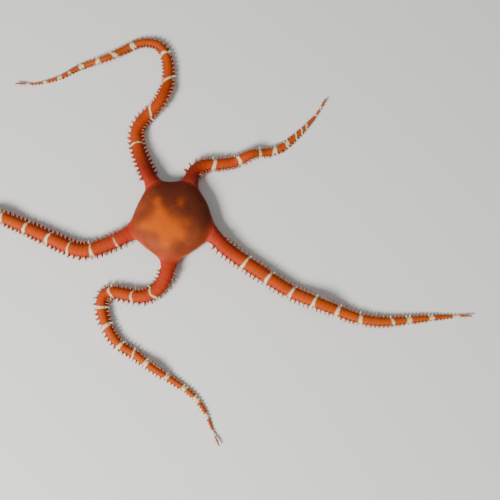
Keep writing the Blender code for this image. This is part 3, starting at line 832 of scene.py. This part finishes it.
def wet_skin():
    """The colours of arms and disc, with the bands, the pale underside and the painted shade in its hollows
    over them.
    """
    material = bpy.data.materials.new("wet_skin")
    material.use_nodes = True
    tree = material.node_tree
    shader = tree.nodes["Principled BSDF"]
    place = add_node(tree, "ShaderNodeTexCoord", output=3)
    broad = add_node(tree, "ShaderNodeTexNoise", Vector=place, Scale=1 / (4 * MM), Detail=3.0)
    patchy = add_node(tree, "ShaderNodeTexNoise", Vector=place, Scale=1 / (1.1 * MM), Detail=4.0)
    fine = add_node(tree, "ShaderNodeTexNoise", Vector=place, Scale=1 / (0.3 * MM), Detail=3.0)

    on_arm = add_node(tree, "ShaderNodeAttribute", {"attribute_name": "arm"}, 2)
    colour = add_node(
        tree, "ShaderNodeMix", MIX, 2,
        _0=on_arm, _6=disc_colour(tree, place, broad, patchy), _7=arm_colour(tree, place, broad, patchy),
    )

    band = add_node(tree, "ShaderNodeAttribute", {"attribute_name": "band"}, 2)
    top = add_node(tree, "ShaderNodeAttribute", {"attribute_name": "top"}, 2)
    wobble = add_node(tree, "ShaderNodeMath", {"operation": "MULTIPLY_ADD"}, _0=patchy, _1=0.5, _2=-0.25)
    band = add_node(tree, "ShaderNodeMath", {"operation": "ADD"}, _0=band, _1=wobble)
    band = add_node(tree, "ShaderNodeMapRange", SMOOTH, _0=band, _1=-0.16, _2=0.16, _3=0.0, _4=0.95)
    above = add_node(tree, "ShaderNodeMapRange", SMOOTH, _0=top, _1=0.1, _2=0.45, _3=0.0, _4=1.0)
    band = add_node(tree, "ShaderNodeMath", {"operation": "MULTIPLY"}, _0=band, _1=above)
    colour = add_node(tree, "ShaderNodeMix", MIX, 2, _0=band, _6=colour, _7=linear(BAND_CREAM))
    under = add_node(tree, "ShaderNodeMapRange", SMOOTH, _0=top, _1=0.18, _2=0.0, _3=0.0, _4=0.6)
    colour = add_node(tree, "ShaderNodeMix", MIX, 2, _0=under, _6=colour, _7=linear(UNDER_PALE))
    # Painted shade in the mouth, the bursal slits and the shallow hollows of the underside
    hollow = add_node(tree, "ShaderNodeAttribute", {"attribute_name": "hollow"}, 2)
    colour = add_node(tree, "ShaderNodeMix", MIX, 2, _0=hollow, _6=colour, _7=linear(HOLLOW_PAINTED_SHADE))
    tree.links.new(colour, shader.inputs["Base Color"])

    height = add_node(tree, "ShaderNodeMath", {"operation": "MULTIPLY_ADD"}, _0=patchy, _1=0.6, _2=fine)
    normal = add_node(tree, "ShaderNodeBump", Height=height, Strength=0.45, Distance=0.08 * MM)
    tree.links.new(normal, shader.inputs["Normal"])
    rough = add_node(tree, "ShaderNodeMapRange", SMOOTH, _0=fine, _1=0.3, _2=0.7, _3=0.55, _4=0.7)
    tree.links.new(rough, shader.inputs["Roughness"])
    shader.inputs["IOR"].default_value = 1.36
    shader.inputs["Subsurface Weight"].default_value = 0.15
    shader.inputs["Subsurface Radius"].default_value = (1.0, 0.3, 0.12)
    shader.inputs["Subsurface Scale"].default_value = 0.5 * MM
    shader.inputs["Specular IOR Level"].default_value = 0.2
    return material


skin.data.materials.append(wet_skin())
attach(skin, "root")
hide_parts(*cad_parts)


# Spines
# Each arm joint carries four short, blunt spines on each side, one above the other, of glassy limestone under
# the same skin. They grow out of the flank, lean a little to the tip and have pale ends.
SPINE_LENGTH = 0.92 * MM
SPINE_WIDTH = 0.37 * MM
SPINE_WIDEST_SHARE = 0.31  # of the arm's own width, towards the tip
SPINE_SIDES = 6
SPINE_SUNK = 0.3 * MM
# The peg that every spine is a copy of, one unit long and one wide: the height of its foot, the width of the
# foot's top, and how much higher each further ring is and its width over that of the ring before
PEG_FOOT = 0.45
PEG_FOOT_TOP = 0.82
PEG_RINGS = ((0.37, 0.84), (0.12, 0.78), (0.06, 0.5))
# Height on the arm as a share of its own, degrees above the level, and length as a share
SPINE_ROWS = ((0.72, 30.0, 0.85), (0.55, 14.0, 1.0), (0.39, 0.0, 1.0), (0.24, -8.0, 0.8))
SPINE_LEAN = 14.0
LEAN_SPREAD = 8.0
LENGTH_SPREAD = 0.12
ALONG_SPREAD = 0.08  # of the arm joint's length
FLOOR_GAP = 0.6  # of a spine's own width, from the floor to its end
FIRST_SPINE = 1.2 * MM  # past the root of the arm
LAST_SPINE = 1.0 * MM  # before its tip
SPINE_SHRINK = 0.6  # the power by which spines shorten as the arm narrows
SPINE_LEAST = 0.34
BACK_LIMIT = cad_box[1][1]  # a spine that would reach past the solids is cut back to this
BAKE_PATCH = 0.003
SPINE_PALE = "CE9566"
# How far an arm's flank reaches to its side at a height, both as shares: the skin's own section
FLANK_SECTION = ((0.0, 0.55), (0.2, 0.92), (0.46, 1.0), (0.7, 0.88), (0.86, 0.68), (1.0, 0.0))


def model_spine():
    """One spine standing at the origin, one unit long and one wide at its root, with a rounded end."""
    bpy.ops.object.select_all(action="DESELECT")
    bpy.ops.mesh.primitive_cylinder_add(
        vertices=SPINE_SIDES, radius=0.5, depth=PEG_FOOT, end_fill_type="NGON", location=(0, 0, PEG_FOOT / 2)
    )
    peg = bpy.context.object
    bpy.ops.object.transform_apply(location=True)
    bpy.ops.object.mode_set(mode="EDIT")
    bpy.ops.mesh.select_mode(type="FACE")
    bpy.ops.mesh.select_all(action="DESELECT")
    mesh = bmesh.from_edit_mesh(peg.data)
    for face in mesh.faces:
        face.select = face.normal.z > 0.9
    bmesh.update_edit_mesh(peg.data)
    bpy.ops.transform.resize(value=(PEG_FOOT_TOP, PEG_FOOT_TOP, 1), center_override=(0, 0, 0))
    for rise, shrink in PEG_RINGS:
        bpy.ops.mesh.extrude_region_move(TRANSFORM_OT_translate={"value": (0, 0, rise)})
        bpy.ops.transform.resize(value=(shrink, shrink, 1), center_override=(0, 0, 0))
    bpy.ops.object.mode_set(mode="OBJECT")
    return peg


def spine_places(arm, chance):
    """Root, direction, length, width and markings of every spine of an arm."""
    for start, end in zip(arm.segments, arm.segments[1:]):
        middle = (start + end) / 2
        if middle < ARM_ROOT + FIRST_SPINE or middle > arm.length - LAST_SPINE:
            continue
        for side in (1, -1):
            for level, rise, share in SPINE_ROWS:
                along = middle + chance.uniform(-ALONG_SPREAD, ALONG_SPREAD) * (end - start)
                width = arm.width(along)
                reach = np.interp(level, *zip(*FLANK_SECTION)) * side
                root = arm.place(along, reach * width / 2, level * arm.height(along))
                size = max(SPINE_LEAST, (width / ROOT_WIDTH) ** SPINE_SHRINK)
                length = SPINE_LENGTH * share * size * (1 + chance.uniform(-LENGTH_SPREAD, LENGTH_SPREAD))
                lean = math.radians(SPINE_LEAN + chance.uniform(-LEAN_SPREAD, LEAN_SPREAD))
                tilt = math.radians(rise + chance.uniform(-LEAN_SPREAD, LEAN_SPREAD) / 2)
                flat = arm.left(along) * side * math.cos(lean) + arm.ahead(along) * math.sin(lean)
                out = Vector((flat.x * math.cos(tilt), flat.y * math.cos(tilt), math.sin(tilt)))
                thick = min(SPINE_WIDTH, SPINE_WIDEST_SHARE * width)
                lowest = thick * FLOOR_GAP - root.z
                if out.z * length < lowest:
                    out.z = lowest / length
                    out.normalize()
                room = BACK_LIMIT - thick / 2 - root.y
                if out.y * length > room:
                    length = room / out.y
                spot = Spot(root)
                spot.arm, spot.along, spot.across, spot.up = arm, along, reach, level
                yield root, out, length, thick, spot


def combs(name, peg, places):
    """All the spines as one mesh, each a copy of the peg, with the skin's markings at its root."""
    unit = np.array([vert.co for vert in peg.data.vertices])
    faces = [list(face.vertices) for face in peg.data.polygons]
    points, polygons, patches, spots, ends = [], [], [], [], []
    for root, out, length, thick, spot in places:
        sunk = SPINE_SUNK * length / SPINE_LENGTH
        turn = np.array(out.to_track_quat("Z", "Y").to_matrix())
        scaled_peg = unit * (thick, thick, length + sunk)
        first = len(points)
        points.extend(scaled_peg @ turn.T + np.array(root - out * sunk))
        polygons.extend([[first + i for i in face] for face in faces])
        spots.extend([spot] * len(unit))
        ends.extend(unit[:, 2])
        u, v = skin_unwrap(spot)
        angle = np.arctan2(unit[:, 1], unit[:, 0]) / math.tau
        patches.extend(np.stack([u + angle * BAKE_PATCH, v + (unit[:, 2] - 0.5) * BAKE_PATCH], axis=1))
    mesh = bpy.data.meshes.new(name)
    mesh.from_pydata([tuple(point) for point in points], [], polygons)
    mesh.attributes.new("end", "FLOAT", "POINT").data.foreach_set("value", ends)
    layer = mesh.uv_layers.new(name="OFBake")
    corners = np.array([patches[loop.vertex_index] for loop in mesh.loops])
    layer.data.foreach_set("uv", corners.ravel())
    piece = bpy.data.objects.new(name, mesh)
    bpy.context.scene.collection.objects.link(piece)
    keep_markings(piece, spots, points)
    mesh.shade_smooth()
    return piece


def spine_skin():
    """The arm's own skin drawn over glassy limestone, which shows pale through it at the end."""
    material = bpy.data.materials.new("spine_skin")
    material.use_nodes = True
    tree = material.node_tree
    shader = tree.nodes["Principled BSDF"]
    place = add_node(tree, "ShaderNodeTexCoord", output=3)
    patchy = add_node(tree, "ShaderNodeTexNoise", Vector=place, Scale=1 / (1.1 * MM), Detail=3.0)
    end = add_node(tree, "ShaderNodeAttribute", {"attribute_name": "end"}, 2)
    band = add_node(tree, "ShaderNodeAttribute", {"attribute_name": "band"}, 2)
    top = add_node(tree, "ShaderNodeAttribute", {"attribute_name": "top"}, 2)
    under = add_node(tree, "ShaderNodeMapRange", SMOOTH, _0=top, _1=0.18, _2=0.0, _3=0.0, _4=0.6)
    paler = add_node(tree, "ShaderNodeMapRange", SMOOTH, _0=end, _1=0.45, _2=1.0, _3=0.0, _4=0.6)
    colour = arm_colour(tree, place, patchy, patchy)
    colour = add_node(tree, "ShaderNodeMix", MIX, 2, _0=under, _6=colour, _7=linear(UNDER_PALE))
    colour = add_node(tree, "ShaderNodeMix", MIX, 2, _0=paler, _6=colour, _7=linear(SPINE_PALE))
    banded = add_node(tree, "ShaderNodeMapRange", SMOOTH, _0=band, _1=-0.2, _2=0.1, _3=0.0, _4=0.95)
    colour = add_node(tree, "ShaderNodeMix", MIX, 2, _0=banded, _6=colour, _7=linear(BAND_CREAM))
    tree.links.new(colour, shader.inputs["Base Color"])
    shader.inputs["Roughness"].default_value = 0.42
    shader.inputs["IOR"].default_value = 1.42
    shader.inputs["Subsurface Weight"].default_value = 0.2
    shader.inputs["Subsurface Radius"].default_value = (1.0, 0.5, 0.3)
    shader.inputs["Subsurface Scale"].default_value = 0.4 * MM
    return material


chance = random.Random(11)
peg = model_spine()
spines = combs("spines", peg, [place for arm in arms for place in spine_places(arm, chance)])
spines.data.materials.append(spine_skin())
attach(spines, "root")


# Mouth papillae
# Each of the five jaws ends in a tooth and carries three blunt papillae down each edge, of the same limestone
# as the spines. They grow in from the edge of the jaw and lie over the mouth.
PAPILLA_LENGTH = 0.42 * MM
PAPILLA_WIDTH = 0.3 * MM
PAPILLAE_AT = (0.22, 0.5, 0.78)  # along the edge of a jaw, from its tip to the end of the slit
PAPILLA_LEVEL = DISC_LIFT + 0.1 * MM
TURN_DECIMALS = 6  # the two arms beside a jaw are equally near, and rounded so they keep the arms' own order


def papilla_places(chance):
    """Root, direction, length, width and markings of every tooth and papilla."""
    for jaw in jaw_directions:
        tip = level_ray(jaw) * JAW_TIP
        roots = [(tip, -level_ray(jaw))]
        beside = sorted(arms, key=lambda arm: round(abs(turn_between(arm.bearing, jaw)), TURN_DECIMALS))
        for arm in beside[:2]:
            slit = level_ray(arm.bearing)
            inward = Vector((-slit.y, slit.x)) * (-1 if turn_between(jaw, arm.bearing) > 0 else 1)
            end = slit * MOUTH_SLIT_SHOULDER - inward * MOUTH_SLIT_HALF_WIDTH
            roots += [(tip.lerp(end, share), inward) for share in PAPILLAE_AT]
        for flat, out in roots:
            root = Vector((*(flat + DISC_CENTRE), PAPILLA_LEVEL))
            length = PAPILLA_LENGTH * (1 + chance.uniform(-LENGTH_SPREAD, LENGTH_SPREAD))
            spot = Spot(root)
            spot.up = 0.0  # as pale as the underside round it
            yield root, Vector((*out, 0.1)).normalized(), length, PAPILLA_WIDTH, spot


papillae = combs("mouth_papillae", peg, papilla_places(chance))
bpy.data.objects.remove(peg)
papillae.data.materials.append(spines.data.materials[0])
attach(papillae, "root")


# Floor, light and camera
# A plain pale floor, a large soft light from the lower left, where the photograph's seems to come from, and
# a weak one opposite. The camera looks down from 78 degrees above the floor, an angle judged from the
# photograph and not measured.
LENS = 60.0
SENSOR = 36.0
FLOOR_PAPER = "ECEAE4"
SKY_WHITE = (0.9, 0.95, 1.0, 1.0)
CAMERA_ELEVATION = math.radians(78)
PHOTO_SIZE = 500
PHOTO_PIXEL = 0.25 * MM
VIEW_MIDDLE = Vector((19.285, -7.1)) * MM + DISC_CENTRE

bpy.ops.mesh.primitive_plane_add(size=3.0, location=(0, 0, 0))
floor = bpy.context.object
floor.name = "floor"
paper = bpy.data.materials.new("pale_paper")
paper.use_nodes = True
paper.node_tree.nodes["Principled BSDF"].inputs["Base Color"].default_value = linear(FLOOR_PAPER)
paper.node_tree.nodes["Principled BSDF"].inputs["Roughness"].default_value = 0.9
floor.data.materials.append(paper)


def soft_light(name, azimuth, elevation, distance, size, watts):
    """A square light that looks at the animal. Azimuth is in degrees from the viewer's side, to the right."""
    turn, rise = math.radians(azimuth), math.radians(elevation)
    toward = Vector((math.sin(turn) * math.cos(rise), -math.cos(turn) * math.cos(rise), math.sin(rise)))
    light = bpy.data.lights.new(name, "AREA")
    light.size = size
    light.energy = watts
    lamp = bpy.data.objects.new(name, light)
    lamp.location = Vector((*VIEW_MIDDLE, 0)) + toward * distance
    lamp.rotation_euler = toward.to_track_quat("Z", "Y").to_euler()
    bpy.context.scene.collection.objects.link(lamp)


soft_light("key_light", -45, 38, 0.5, 0.16, 4.6)
soft_light("fill_light", 130, 60, 0.6, 0.4, 0.4)
world = bpy.data.worlds.new("studio")
world.use_nodes = True
world.node_tree.nodes["Background"].inputs["Color"].default_value = SKY_WHITE
world.node_tree.nodes["Background"].inputs["Strength"].default_value = 0.24
bpy.context.scene.world = world

camera = bpy.data.objects.new("camera", bpy.data.cameras.new("camera"))
camera.data.lens = LENS
camera.data.sensor_width = SENSOR
camera.data.clip_start = 0.01
toward_camera = Vector((0, -math.cos(CAMERA_ELEVATION), math.sin(CAMERA_ELEVATION)))
camera.location = Vector((*VIEW_MIDDLE, 0)) + toward_camera * PHOTO_SIZE * PHOTO_PIXEL * LENS / SENSOR
camera.rotation_euler = toward_camera.to_track_quat("Z", "Y").to_euler()
bpy.context.scene.collection.objects.link(camera)
bpy.context.scene.camera = camera
